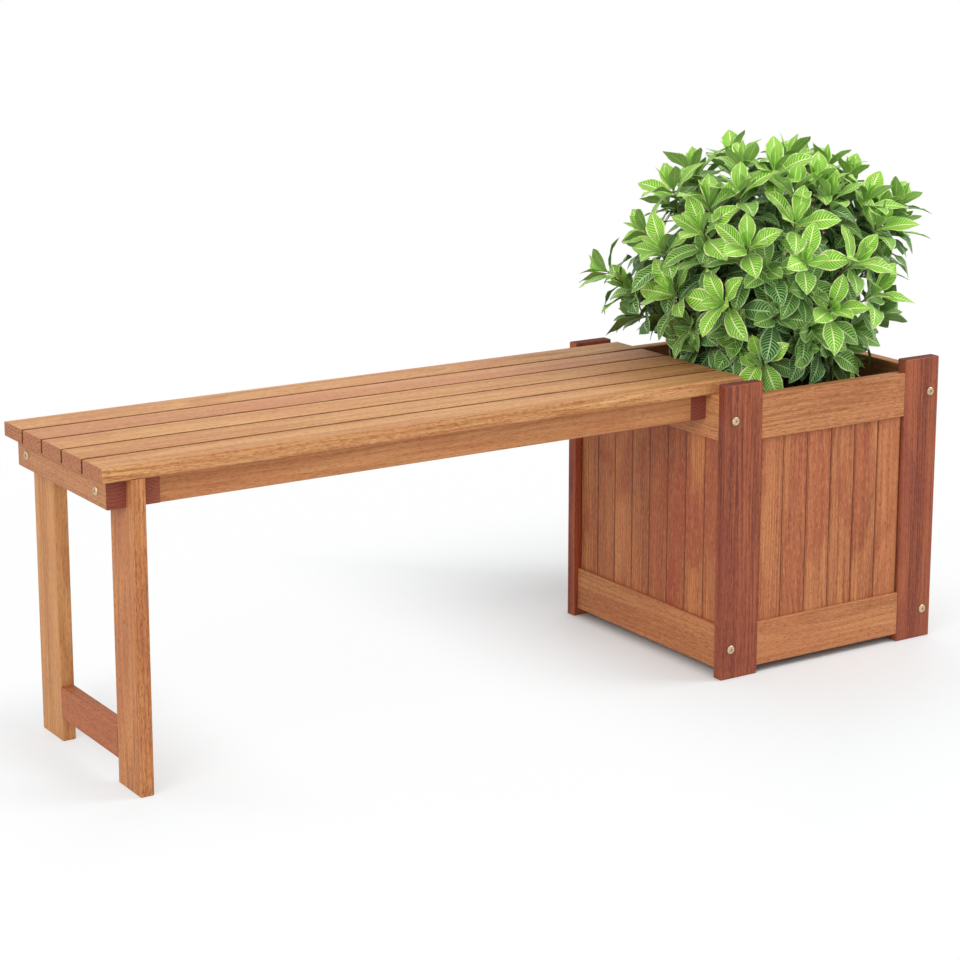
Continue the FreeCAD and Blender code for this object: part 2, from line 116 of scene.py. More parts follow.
def scaled(vector, factor):
    inputs = {0: vector, "Scale": factor}
    return addNode("ShaderNodeVectorMath", inputs, operation="SCALE").outputs[0]


def axisOf(vector, axis):
    return addNode("ShaderNodeSeparateXYZ", {0: vector}).outputs[axis]


def fromAxes(parts):
    return addNode("ShaderNodeCombineXYZ", parts).outputs[0]


def offBox(place, middle, half, operation):
    # how far out a place lies from an upright box's middle, seen from above: as a share of the half
    # size with DIVIDE, in metres beyond it with SUBTRACT
    off = vectorCalc("ABSOLUTE", vectorCalc("SUBTRACT", place, middle))
    off = vectorCalc(operation, off, half)
    return calc("MAXIMUM", axisOf(off, 0), axisOf(off, 1))


def noise(vector, scale, detail, roughness=0.5, distortion=0.0, output=0):
    inputs = {"Vector": vector, "Scale": scale, "Detail": detail, "Roughness": roughness,
              "Distortion": distortion}
    return addNode("ShaderNodeTexNoise", inputs).outputs[output]


def mixColour(factor, first, second, blend="MIX"):
    inputs = {0: factor, 6: first, 7: second}
    return addNode("ShaderNodeMix", inputs, data_type="RGBA", blend_type=blend).outputs[2]


def bump(strength, distance, height, **others):
    inputs = {"Strength": strength, "Distance": distance, "Height": height, **others}
    return addNode("ShaderNodeBump", inputs).outputs[0]


def socketKind(value):
    # what an input takes shows in its default; text names a kind that has none
    if isinstance(value, tuple):
        return "Vector" if len(value) == 3 else "Color"
    return {str: value, int: "Int", float: "Float"}[type(value)]


def newGroup(name, inputs, outputs, treeType="ShaderNodeTree"):
    group = bpy.data.node_groups.new(name, treeType)
    addSocket = group.interface.new_socket
    for title, value in inputs.items():
        socket = addSocket(title, in_out="INPUT", socket_type="NodeSocket" + socketKind(value))
        if not isinstance(value, str):
            socket.default_value = value
    for title, kind in outputs.items():
        addSocket(title, in_out="OUTPUT", socket_type="NodeSocket" + kind)
    nodes = group.nodes
    return group, nodes.new("NodeGroupInput").outputs, nodes.new("NodeGroupOutput").inputs


def objectPlace(tree):
    return newNode(tree, "ShaderNodeTexCoord").outputs["Object"]


def setShader(shader, **values):
    for socket, value in values.items():
        plug(shader.inputs[socket.replace("_", " ")], value)


def newMaterial(name, **values):
    material = bpy.data.materials.new(name)
    material.use_nodes = True
    tree = material.node_tree
    shader = tree.nodes["Principled BSDF"]
    setShader(shader, **values)
    return material, tree, shader


# noise waves in a metre, twice across the grain and once along it; wander and arris sizes in metres
timberGrain = {
    "ringsPerMetre": 210, "heartReach": (0.04, 0.09), "wander": 0.045, "wanderWaves": (6, 6, 1.4),
    "broadWaves": (34, 34, 1.2), "fibreWaves": (330, 330, 6), "patchWaves": (14, 14, 5),
    "poreWaves": (860, 860, 130), "glintWaves": (620, 620, 80), "endWaves": 1000,
    "arrisRadius": 0.0014, "arrisWearAndHighlight": 0.3, "relief": 0.0003,
}


def makeTimberGroup():
    # growth rings, fibres and flecks that run along Z, placed from the middle of the piece
    group, given, result = newGroup("timberGrain", {
        "Place": (0, 0, 0), "Facing": (0, 0, 1), "Seed": 0.0, "Light": (0.6, 0.4, 0.2, 1),
        "Dark": (0.3, 0.15, 0.08, 1), "Red": (0.4, 0.18, 0.1, 1), "End": (0.2, 0.1, 0.08, 1),
        "Rings": 0.3, "Streaks": 1.0, "Patches": 0.5, "Flecks": 1.0, "Variation": 0.3},
        {"Color": "Color", "Roughness": "Float", "Height": "Float"})
    own = addNode("ShaderNodeTexWhiteNoise", {"W": given["Seed"]}, noise_dimensions="1D").outputs
    shares = addNode("ShaderNodeSeparateColor", {0: own["Color"]}).outputs
    place = vectorCalc("ADD", given["Place"], stretch(own["Color"], (7, 9, 5)))

    # the rings lie round a heart some way outside the piece, and wander along its length
    heartTurn = times(shares[0], 2 * math.pi)
    heartReach = ease(shares[1], 0.0, 1.0, *timberGrain["heartReach"])
    heart = fromAxes({0: times(calc("COSINE", heartTurn), heartReach),
                      1: times(calc("SINE", heartTurn), heartReach)})
    wander = noise(stretch(place, timberGrain["wanderWaves"]), 1, 2, output="Color")
    wander = stretch(wander, (timberGrain["wander"], timberGrain["wander"], 0))
    offHeart = vectorCalc("ADD", vectorCalc("ADD", given["Place"], heart), wander)
    radius = vectorCalc("LENGTH", stretch(offHeart, (1, 1, 0)))
    ring = calc("FRACT", times(radius, timberGrain["ringsPerMetre"]))
    late = times(ease(ring, 0.3, 0.86), ease(ring, 1.0, 0.9))

    def layer(waves, detail, roughness=0.5, distortion=0.0):
        return noise(stretch(place, timberGrain[waves]), 1, detail, roughness, distortion)

    broad = layer("broadWaves", 3, 0.55, 0.4)
    fibre = layer("fibreWaves", 3, 0.62, 0.2)
    patch = layer("patchWaves", 2, 0.5, 0.6)
    pore = layer("poreWaves", 1)
    glint = layer("glintWaves", 1)

    streak = times(ease(broad, 0.34, 0.66, -0.3, 0.3), given["Streaks"])
    lines = times(ease(fibre, 0.32, 0.68, -0.34, 0.34), given["Streaks"])
    rings = times(minus(0.4, late), given["Rings"])
    ownTone = times(minus(own["Value"], 0.5), given["Variation"])
    tone = plus(plus(streak, lines), plus(rings, ownTone))
    tone = clamped(plus(tone, 0.55))
    colour = mixColour(tone, given["Dark"], given["Light"])
    reddish = times(ease(patch, 0.42, 0.62), given["Patches"])
    ownRed = times(minus(shares[2], 0.35), given["Variation"])
    reddish = clamped(plus(reddish, ownRed))
    colour = mixColour(reddish, colour, given["Red"])

    pores = times(ease(pore, 0.53, 0.64), given["Flecks"])
    colour = mixColour(times(pores, 0.42), colour, given["Dark"], "MULTIPLY")
    glints = times(ease(glint, 0.55, 0.68), given["Flecks"])
    colour = mixColour(times(glints, 0.5), colour, given["Light"])

    # end grain: cut fibres show as speckle, over the same rings
    endMask = ease(calc("ABSOLUTE", axisOf(given["Facing"], 2)), 0.75, 0.92)
    speckle = noise(given["Place"], timberGrain["endWaves"], 1, 0.6)
    endTone = minus(ease(speckle, 0.36, 0.6), times(late, 0.35))
    endDark = mixColour(1.0, given["End"], (0.42, 0.36, 0.36, 1), "MULTIPLY")
    endColour = mixColour(clamped(endTone), endDark, given["End"])
    plug(result["Color"], mixColour(endMask, colour, endColour))

    rough = plus(ease(fibre, 0.3, 0.7, 0.5, 0.62), times(endMask, 0.2))
    plug(result["Roughness"], rough)
    grooves = minus(times(fibre, 0.5), times(pores, 0.5))
    plug(result["Height"], plus(grooves, times(speckle, endMask)))
    return group


def makeArrisGroup():
    # a rounded arris: the normal that rolls over an edge, and a mask of the edge, where the colour
    # is painted lighter for wear and as a painted highlight
    group, given, result = newGroup("roundedArris", {"Radius": 0.001, "Height": 0.0, "Relief": 0.001},
                                    {"Normal": "Vector", "Edge": "Float"})
    rolled = addNode("ShaderNodeBevel", {"Radius": given["Radius"]}, samples=4).outputs[0]
    flat = newNode(group, "ShaderNodeNewGeometry").outputs["True Normal"]
    likeness = vectorCalc("DOT_PRODUCT", rolled, flat)
    plug(result["Edge"], ease(likeness, 0.995, 0.86))
    normal = bump(0.6, given["Relief"], given["Height"], Normal=rolled)
    plug(result["Normal"], normal)
    return group


timberGroup = makeTimberGroup()
arrisGroup = makeArrisGroup()

# screen colours of early and late wood, of reddish patches and of cut ends, and the values that
# differ from the group's; the pale red suits the far post, and the second bar tone, for the inner
# crossbar, has its cut end painted lighter against the shade that falls on it
timberTones = {
    "golden": ((219, 168, 113), (174, 112, 62), (198, 136, 91), (198, 133, 95),
               {"Rings": 0.5, "Streaks": 0.95}),
    "rosy": ((220, 164, 117), (176, 114, 72), (202, 138, 99), (200, 133, 95),
             {"Rings": 0.35, "Streaks": 0.85}),
    "bar": ((194, 138, 92), (155, 96, 57), (175, 109, 73), (162, 88, 68),
            {"Streaks": 0.9, "Patches": 0.6, "Flecks": 1.1}),
    "litBar": ((194, 138, 92), (155, 96, 57), (175, 109, 73), (177, 100, 75),
                {"Streaks": 0.9, "Patches": 0.6, "Flecks": 1.1}),
    "leg": ((202, 138, 84), (148, 84, 49), (168, 98, 61), (150, 90, 66), {"Rings": 0.4}),
    "apron": ((202, 142, 92), (166, 102, 58), (185, 115, 74), (150, 90, 66),
              {"Rings": 0.35, "Streaks": 0.8, "Patches": 0.3, "Flecks": 0.7}),
    "straw": ((205, 148, 94), (166, 105, 59), (186, 119, 75), (150, 90, 66),
              {"Rings": 0.35, "Streaks": 0.8, "Patches": 0.3, "Flecks": 0.7}),
    "russet": ((195, 125, 81), (151, 84, 49), (172, 96, 62), (132, 76, 58),
               {"Streaks": 0.7, "Flecks": 0.9}),
    "orange": ((209, 147, 96), (161, 99, 59), (184, 114, 73), (132, 76, 58),
               {"Streaks": 0.7, "Flecks": 0.9}),
    "red": ((170, 94, 62), (106, 48, 34), (128, 58, 46), (136, 72, 58),
            {"Rings": 0.25, "Flecks": 0.8}),
    "paleRed": ((182, 96, 62), (114, 49, 34), (137, 59, 46), (136, 72, 58),
                {"Rings": 0.25, "Flecks": 0.8}),
    "board": ((208, 138, 87), (148, 81, 52), (160, 81, 56), (112, 62, 48),
              {"Streaks": 0.7, "Patches": 0.7, "Flecks": 0.9, "Variation": 0.55}),
    "inner": ((150, 104, 60), (104, 66, 38), (118, 72, 44), (104, 66, 48),
              {"Streaks": 0.9, "Patches": 0.4}),
    "peg": ((206, 164, 116), (176, 128, 84), (190, 138, 94), (170, 124, 88),
            {"Rings": 0.2, "Streaks": 0.6, "Patches": 0.3}),
}
for tone, (*colours, values) in timberTones.items():
    colours = zip(("Light", "Dark", "Red", "End"), colours)
    timberTones[tone] = {title: srgb(*colour) for title, colour in colours} | values
grainTurn = {"X": (0, -math.pi / 2, 0), "Y": (math.pi / 2, 0, 0), "Z": (0, 0, 0)}

# painted shade darkens the sides in the seat's gaps, the joints between boards and the planter's
# inside over the soil, from a height down and over a short fade, in metres
gapShade = {"colour": (0.3, 0.24, 0.2, 1), "height": 0.45, "fade": 0.001}
railInsideShade = {"colour": (0.62, 0.58, 0.5, 1), "height": 0.43, "fade": 0.006}
boardInsideShade = {**railInsideShade, "height": 0.4}
# which axis a piece's side with painted shade faces, and its way along it, 0 for both
paintedShadeSides = {"seat_slat_1": (1, 1, gapShade), "seat_slat_5": (1, -1, gapShade)}
paintedShadeSides.update({"seat_slat_" + number: (1, 0, gapShade) for number in "234"})
for side, *facing in (("front", 1, 1), ("back", 1, -1), ("left", 0, 1), ("right", 0, -1)):
    paintedShadeSides[side + "_top_rail"] = (*facing, railInsideShade)
    paintedShadeSides[side + "_boards"] = (*facing, boardInsideShade)


def cornersOf(nodeName):
    return [Vector(corner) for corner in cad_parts[nodeName].bound_box]


def timberMaterial(nodeName, tone, grain, seed, boards=None):
    material, tree, shader = newMaterial(nodeName, IOR=1.45, Specular_IOR_Level=0.3)
    coords = newNode(tree, "ShaderNodeTexCoord").outputs
    corners = cornersOf(nodeName)
    middle, number = sum(corners, Vector()) / len(corners), seed
    if boards:
        # each board of a panel has its own seed and middle, counted along the panel
        axis, start, pitch = boards
        along = axisOf(coords["Object"], axis)
        count = calc("FLOOR", calc("DIVIDE", minus(along, start), pitch))
        number = plus(count, seed)
        boardMiddle = plus(times(count, pitch), start + pitch / 2)
        middle = fromAxes({0: middle.x, 1: middle.y, 2: middle.z, axis: boardMiddle})

    def turned(vector):
        inputs = {"Vector": vector, "Rotation": grainTurn[grain]}
        return addNode("ShaderNodeMapping", inputs).outputs[0]

    place = turned(vectorCalc("SUBTRACT", coords["Object"], middle))
    facing = turned(coords["Normal"])
    values = {"Place": place, "Facing": facing, "Seed": number, **timberTones[tone]}
    timber = addNode("ShaderNodeGroup", values, node_tree=timberGroup).outputs
    values = {"Radius": timberGrain["arrisRadius"], "Height": timber["Height"],
              "Relief": timberGrain["relief"]}
    arris = addNode("ShaderNodeGroup", values, node_tree=arrisGroup).outputs
    # the edges are painted lighter, partly for wear and partly as a painted highlight along the
    # arris
    edgeWearAndHighlight = times(arris["Edge"], timberGrain["arrisWearAndHighlight"])
    colour = mixColour(edgeWearAndHighlight, timber["Color"], timberTones[tone]["Light"])
    # painted shade on the sides that face into the seat's gaps and into the planter over the soil
    if nodeName in paintedShadeSides:
        axis, way, paintedShade = paintedShadeSides[nodeName]
        towards = axisOf(coords["Normal"], axis)
        towards = times(towards, way) if way else calc("ABSOLUTE", towards)
        top = paintedShade["height"]
        deep = ease(axisOf(coords["Object"], 2), top - 0.0001, top - paintedShade["fade"])
        shadeMask = times(ease(towards, 0.3, 0.7), deep)
        colour = mixColour(shadeMask, colour, paintedShade["colour"], "MULTIPLY")
    # painted shade along the joints between boards
    if boards:
        offMiddle = calc("ABSOLUTE", minus(along, boardMiddle))
        joint = ease(offMiddle, pitch / 2 - 0.0015, pitch / 2 - 0.0005)
        colour = mixColour(joint, colour, gapShade["colour"], "MULTIPLY")
    setShader(shader, Base_Color=colour, Roughness=timber["Roughness"], Normal=arris["Normal"])
    return material


def dress(nodeName, material):
    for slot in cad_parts[nodeName].material_slots:
        slot.material = material


# each timber's pieces, the way their grain runs and the seed of the first one's pattern
timberPieces = (
    ("golden", "X", 11, ("seat_slat_1", "seat_slat_2", "seat_slat_3")),
    ("rosy", "X", 14, ("seat_slat_4",)), ("golden", "X", 15, ("seat_slat_5",)),
    # the inner crossbar's cut end is painted lighter against its shade
    ("bar", "Y", 21, ("outer_crossbar",)), ("litBar", "Y", 22, ("inner_crossbar",)),
    ("bar", "Y", 23, ("planter_crossbar",)), ("apron", "X", 24, ("front_apron", "back_apron")),
    ("leg", "Z", 31, ("front_leg",)), ("straw", "Z", 32, ("back_leg",)),
    ("russet", "Y", 33, ("leg_stretcher",)),
    ("red", "Z", 41, ("front_left_post", "front_right_post")),
    ("paleRed", "Z", 43, ("back_left_post",)), ("red", "Z", 44, ("back_right_post",)),
    ("orange", "X", 51,
     ("front_top_rail", "front_bottom_rail", "back_top_rail", "back_bottom_rail")),
    ("orange", "Y", 55,
     ("left_top_rail", "left_bottom_rail", "right_top_rail", "right_bottom_rail")),
    ("inner", "X", 61, ("front_ledger", "back_ledger")),
    ("inner", "Y", 63, ("floor_board_1", "floor_board_2", "floor_board_3", "floor_board_4")),
    ("peg", "X", 71, ("apron_dowels",)), ("peg", "Y", 72, ("stretcher_dowels",)),
    ("peg", "X", 73, ("rail_dowels",)),
)
# each panel: the axis its boards are counted along, where the first starts, their pitch and a seed
boardPanels = {"front_boards": (0, 0.318, 0.0463, 320), "back_boards": (0, 0.318, 0.0463, 121),
               "left_boards": (1, -0.182, 0.0453, 141), "right_boards": (1, -0.182, 0.0453, 161)}

for tone, grain, firstSeed, nodeNames in timberPieces:
    for seed, nodeName in enumerate(nodeNames, firstSeed):
        dress(nodeName, timberMaterial(nodeName, tone, grain, seed))
for nodeName, (*counting, seed) in boardPanels.items():
    dress(nodeName, timberMaterial(nodeName, "board", "Z", seed, counting))
print("timber dressed")


metalFinish = {
    "boltMetal": {"bright": srgb(208, 186, 154), "tarnish": srgb(150, 124, 98),
                  "roughness": (0.32, 0.55),
                  "nodes": ("leg_bolts", "tie_bolts", "front_corner_bolts", "back_corner_bolts")},
    "zincMetal": {"bright": srgb(190, 192, 194), "tarnish": srgb(130, 132, 136),
                  "roughness": (0.3, 0.5),
                  "nodes": ("leg_bolt_nuts", "tie_bolt_nuts", "corner_bolt_nuts", "slat_screws",
                            "ledger_screws")},
}


def metalMaterial(name, bright, tarnish, roughness):
    material, tree, shader = newMaterial(name, Metallic=0.85)
    cloud = noise(objectPlace(tree), 260, 4, 0.6)
    setShader(shader, Roughness=ease(cloud, 0.3, 0.7, *roughness),
              Base_Color=mixColour(ease(cloud, 0.45, 0.75), bright, tarnish))
    return material


for name, finish in metalFinish.items():
    metal = metalMaterial(name, finish["bright"], finish["tarnish"], finish["roughness"])
    for nodeName in finish["nodes"]:
        dress(nodeName, metal)
print("fastenings dressed")


def chance(seed, offset, low, high):
    # a random number, or vector, for each point
    kind, first = ("FLOAT_VECTOR", 0) if isinstance(low, tuple) else ("FLOAT", 2)
    index = newNode(seed.id_data, "GeometryNodeInputIndex").outputs[0]
    inputs = {first: low, first + 1: high, "ID": index, "Seed": plus(seed, offset)}
    return addNode("FunctionNodeRandomValue", inputs, data_type=kind).outputs[first // 2]


def moved(geometry, offset):
    inputs = {"Geometry": geometry, "Offset": offset}
    return addNode("GeometryNodeSetPosition", inputs).outputs[0]


def without(points, selection):
    inputs = {"Geometry": points, "Selection": selection}
    return addNode("GeometryNodeDeleteGeometry", inputs, domain="POINT").outputs[0]


def stored(geometry, name, value, domain):
    inputs = {"Geometry": geometry, "Name": name, "Value": value}
    return addNode("GeometryNodeStoreNamedAttribute", inputs, domain=domain,
                   data_type="FLOAT").outputs[0]


def placeKinds(points, kinds, which, turn, size):
    # an object of the collection on each point
    kinds = addNode("GeometryNodeCollectionInfo",
                    {"Collection": kinds, "Separate Children": True, "Reset Children": True})
    inputs = {"Points": points, "Instance": kinds.outputs[0], "Pick Instance": True,
              "Instance Index": which, "Rotation": turn, "Scale": size}
    return addNode("GeometryNodeInstanceOnPoints", inputs).outputs[0]


def endTree(mesh, geometry, finish):
    whole = addNode("GeometryNodeRealizeInstances", {"Geometry": geometry}).outputs[0]
    inputs = {"Geometry": whole, "Material": finish}
    plug(mesh, addNode("GeometryNodeSetMaterial", inputs).outputs[0])


def setInput(modifier, title, value):
    # a modifier keeps each input under its socket's identifier
    for item in modifier.node_group.interface.items_tree:
        if item.item_type == "SOCKET" and item.in_out == "INPUT" and item.name == title:
            modifier[item.identifier] = value


def newShape(name, points, faces):
    mesh = bpy.data.meshes.new(name)
    mesh.from_pydata(points, [], faces)
    return bpy.data.objects.new(name, mesh)


def keptShape(name, shell):
    mesh = bpy.data.meshes.new(name)
    shell.to_mesh(mesh)
    shell.free()
    return bpy.data.objects.new(name, mesh)


def growPiece(name, source, tree, values):
    # runs a Geometry Nodes tree on a source and keeps the result as a plain mesh
    scene.collection.objects.link(source)
    modifier = source.modifiers.new("grow", "NODES")
    modifier.node_group = tree
    for title, value in values.items():
        setInput(modifier, title, value)
    depsgraph = bpy.context.evaluated_depsgraph_get()
    mesh = bpy.data.meshes.new_from_object(
        source.evaluated_get(depsgraph), preserve_all_data_layers=True, depsgraph=depsgraph)
    bpy.data.objects.remove(source)
    piece = bpy.data.objects.new(name, mesh)
    mesh.name = name
    scene.collection.objects.link(piece)
    print(name, "has", len(mesh.polygons), "faces")
    return piece


def growFromKinds(name, source, tree, title, kinds, values):
    # as growPiece, from a collection of small shapes that goes once the piece is grown
    collection = bpy.data.collections.new(title)
    for kind in kinds:
        collection.objects.link(kind)
    piece = growPiece(name, source, tree, {title: collection, **values})
    for kind in kinds:
        bpy.data.objects.remove(kind)
    bpy.data.collections.remove(collection)
    return piece


# the crown in metres, its shoots' lean in degrees; shares are of the crown's reach, rise and drop
plant = {"centre": Vector((0.472, -0.009, 0.612)), "planterMiddle": Vector((0.458, 0, 0)),
         "reach": 0.182, "rise": 0.136, "drop": 0.145, "seed": 5,
         "lean": 46, "leanRise": 38, "leanSpread": 9, "swingSpread": 0.25, "lightSpread": 0.08,
         "hiddenTries": 90, "hiddenShare": (0.94, 1.03), "hiddenLight": 0.78, "shootGap": 0.055,
         "innerShoots": 24, "innerShare": (0.5, 0.74), "innerTop": 0.7, "innerDepth": 1.6,
         "innerLight": 0.3, "skirtShoots": 20, "skirtShare": (0.25, 0.62), "skirtDrop": (1.0, 1.12),
         "skirtLight": 0.38, "leavesPerShoot": 13, "leafLength": 0.068, "leafSpacing": 0.06,
         "innerTilt": 8.0, "outerTilt": 82.0, "rimHeight": 0.457, "openingHalf": (0.13, 0.168)}
# shoots that face the viewer: degrees round the crown, counted from +X, and height in mm
brightShoots = (
    (109, 741), (-160, 739), (5, 744), (-23, 730), (128, 721), (-90, 718), (-29, 714), (155, 700),
    (-147, 710), (-163, 693), (-110, 714), (-86, 703), (-57, 689), (-37, 668), (-60, 655),
    (158, 639), (-114, 673), (-137, 638), (-111, 617), (-85, 612), (178, 620), (-175, 557),
    (-148, 552), (-96, 541), (-67, 556), (-160, 656), (-121, 736), (-130, 463))
shadedShoots = (
    (-128, 601), (-158, 612), (-175, 496), (-148, 498), (-122, 525), (-101, 503), (-65, 493),
    (148, 498), (-64, 462), (-102, 469), (-50, 586), (146, 533), (-108, 566), (-144, 468),
    (-84, 466), (-172, 466))
# their reach as a share of the crown's, and their light
brightShare, shadedShare = (1.05, 1.12), (0.92, 0.5)
# a few shoots stand out on the left and right: degrees, height, share of the reach and light
strayShoots = (
    (148, 572, 1.36, 0.9), (150, 545, 1.16, 0.8), (154, 508, 1.2, 0.35), (-33, 672, 1.22, 0.8),
    (-34, 640, 1.12, 0.9), (-40, 505, 1.08, 0.4))
# dark leaves low in the planter's front right corner, told in the same way
cornerShoots = (
    (-50, 440, 0.8, 0.42), (-28, 446, 0.9, 0.46), (-70, 438, 0.85, 0.38), (-40, 415, 0.72, 0.44),
    (-60, 418, 0.78, 0.4), (-47, 425, 0.9, 0.46))


def crownPoint(turn, height, share=1.0):
    # a place in the crown, which narrows to its top and a little to its foot
    above = height - plant["centre"].z
    rise = max(-1.15, min(1.0, above / (plant["rise"] if above > 0 else plant["drop"])))
    narrowed = math.sqrt(1 - rise * rise) if rise > 0 else 1 - 0.2 * rise * rise
    reach = plant["reach"] * narrowed * share
    outward = Vector((math.cos(turn), math.sin(turn), 0))
    level = above * (0.4 + 0.6 * min(share, 1.0))
    return plant["centre"] + outward * reach + Vector((0, 0, level)), outward, rise


def placeShoots():
    # each shoot: its tip, the way it points, how much light reaches it and its turn round the crown
    rng = random.Random(plant["seed"])
    middle, rise, drop = plant["centre"].z, plant["rise"], plant["drop"]
    shoots = []

    def spread(title):
        return rng.uniform(-plant[title], plant[title])

    def addShoot(turn, height, share, light):
        tip, outward, steepness = crownPoint(turn, height, share)
        lean = plant["lean"] + plant["leanRise"] * steepness
        lean = math.radians(lean + spread("leanSpread"))
        swing = Quaternion((0, 0, 1), spread("swingSpread"))
        axis = swing @ (outward * math.cos(lean) + Vector((0, 0, math.sin(lean))))
        shoots.append((tip, axis.normalized(), light + spread("lightSpread"), turn))

    def addListed(listed):
        for degrees, height, share, light in listed:
            addShoot(math.radians(degrees), height / 1000, share, light)

    addListed(shoot + brightShare for shoot in brightShoots)
    addListed(shoot + shadedShare for shoot in shadedShoots)
    addListed(strayShoots)
    for number in range(plant["hiddenTries"]):
        height = middle + rise - (rise + drop) * number / plant["hiddenTries"]
        turn = number * goldenAngle + rng.uniform(-0.1, 0.1)
        place, _, _ = crownPoint(turn, height)
        if all((place - other[0]).length > plant["shootGap"] for other in shoots):
            addShoot(turn, height, rng.uniform(*plant["hiddenShare"]), plant["hiddenLight"])
    count, top, depth = plant["innerShoots"], plant["innerTop"], plant["innerDepth"]
    for number in range(count):
        height = middle + rise * (top - depth * (number + 0.5) / count)
        share = rng.uniform(*plant["innerShare"])
        addShoot(number * goldenAngle + 0.8, height, share, plant["innerLight"])
    count, (first, growth) = plant["skirtShoots"], plant["skirtShare"]
    for number in range(count):
        # shaded leaves fill the planter's mouth
        share = first + growth * math.sqrt((number + 0.5) / count)
        height = middle - drop * rng.uniform(*plant["skirtDrop"])
        addShoot(number * goldenAngle, height, share, plant["skirtLight"])
    addListed(cornerShoots)
    return shoots


stems = {"count": 7, "ringReach": 0.055, "forkReach": 0.115, "footHeight": 0.33, "forkHeight": 0.47,
         "radii": (0.0042, 0.0028), "twigRadii": (0.0019, 0.001), "sides": 7, "spacing": 0.009,
         "crookedness": 0.006}
# bark over the soil and, above a height, on young wood
bark = {"old": (srgb(72, 44, 36), srgb(104, 72, 58)), "ridge": srgb(60, 42, 32),
        "young": (srgb(122, 74, 56), srgb(112, 116, 60)), "youngFrom": 0.46, "youngTo": 0.62}


def bendPoints(start, startWay, end, endWay, count):
    # points along a smooth bend that leaves one way and arrives another
    reach = (end - start).length
    first = start + startWay * reach * 0.4
    second = end - endWay * reach * 0.42
    points = []
    for step in range(count):
        part = step / (count - 1)
        rest = 1 - part
        points.append(start * rest ** 3 + first * 3 * rest * rest * part
                      + second * 3 * rest * part * part + end * part ** 3)
    return points


def addSpline(curve, points, firstRadius, lastRadius):
    spline = curve.splines.new("POLY")
    spline.points.add(len(points) - 1)
    for number, (point, place) in enumerate(zip(spline.points, points)):
        point.co = (*place, 1)
        point.radius = firstRadius + (lastRadius - firstRadius) * number / (len(points) - 1)


def makeStemTree():
    tree, given, result = newGroup("woodyStems", {
        "Stems": "Geometry", "Sides": 7, "Point Spacing": 0.008, "Crookedness": 0.002,
        "Bark": "Material"}, {"Mesh": "Geometry"}, "GeometryNodeTree")
    inputs = {"Curve": given["Stems"], "Length": given["Point Spacing"]}
    even = addNode("GeometryNodeResampleCurve", inputs, mode="LENGTH").outputs[0]
    place = newNode(tree, "GeometryNodeInputPosition").outputs[0]
    drift = vectorCalc("SUBTRACT", noise(place, 42, 2, output="Color"), (0.5, 0.5, 0.5))
    crooked = moved(even, scaled(drift, given["Crookedness"]))
    inputs = {"Resolution": given["Sides"], "Radius": 1.0}
    ring = addNode("GeometryNodeCurvePrimitiveCircle", inputs).outputs[0]
    radius = newNode(tree, "GeometryNodeInputRadius").outputs[0]
    inputs = {"Curve": crooked, "Profile Curve": ring, "Scale": radius, "Fill Caps": True}
    tube = addNode("GeometryNodeCurveToMesh", inputs).outputs[0]
    endTree(result["Mesh"], tube, given["Bark"])
    return tree


def stemMaterial():
    material, tree, shader = newMaterial("stemBark", Roughness=0.62)
    place = objectPlace(tree)
    blotch = ease(noise(place, 70, 3, 0.6), 0.35, 0.7)
    ridges = noise(stretch(place, (400, 400, 60)), 1, 2)
    young, old = mixColour(blotch, *bark["young"]), mixColour(blotch, *bark["old"])
    isYoung = ease(axisOf(place, 2), bark["youngFrom"], bark["youngTo"])
    colour = mixColour(isYoung, old, young)
    colour = mixColour(ease(ridges, 0.55, 0.75), colour, bark["ridge"])
    setShader(shader, Base_Color=colour, Normal=bump(0.5, 0.0006, ridges))
    return material


def makeStems(shoots):
    rng = random.Random(plant["seed"] + 1)
    curve = bpy.data.curves.new("stemLines", "CURVE")
    curve.dimensions = "3D"
    middle, forks = plant["planterMiddle"], []
    for number in range(stems["count"]):
        turn = 2 * math.pi * number / stems["count"]
        outward = Vector((math.cos(turn), math.sin(turn), 0))
        foot = middle + outward * stems["ringReach"] + Vector((0, 0, stems["footHeight"]))
        fork = middle + outward * stems["forkReach"] + Vector((0, 0, stems["forkHeight"]))
        way = (fork - foot).normalized()
        addSpline(curve, bendPoints(foot, Vector((0, 0, 1)), fork, way, 7), *stems["radii"])
        forks.append((turn, foot, fork, way))
    for tip, axis, light, turn in shoots:
        # a twig leaves the nearest stem somewhere below its fork
        _, foot, fork, way = min(
            forks, key=lambda stem: abs(math.remainder(stem[0] - turn, 2 * math.pi)))
        start = foot.lerp(fork, rng.uniform(0.55, 0.98))
        addSpline(curve, bendPoints(start, way, tip, axis, 9), *stems["twigRadii"])
    piece = growPiece("plantStems", bpy.data.objects.new("stemLines", curve), makeStemTree(), {
        "Sides": stems["sides"], "Point Spacing": stems["spacing"],
        "Crookedness": stems["crookedness"], "Bark": stemMaterial()})
    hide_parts("plant_stems")
    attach(piece, "root")


# a leaf one unit long; its UV map runs along the blade in V, and across it in U: from 0 to twice
# uvHalf on the upper side, and from underShift on the lower one
leafShape = {"halfWidth": 0.228, "baseHalfWidth": 0.008, "stalkHalfWidth": 0.018,
             "tipHalfWidth": 0.002, "stalk": 0.07, "fold": 0.3, "thickness": 0.009, "lift": 0.1,
             "rippleWaves": 11, "creaseAngle": 1.2,
             "rows": (0.0, 0.06, 0.15, 0.27, 0.4, 0.53, 0.66, 0.78, 0.9, 1.0),
             "topColumns": (-1, -0.55, 0, 0.55, 1), "underColumns": (-1, 0, 1),
             "curls": (0.0, 0.3, 0.6, 0.85), "ripples": (0.05, 0.1, 0.15, 0.2),
             "uvHalf": 0.45, "underShift": 1.1}


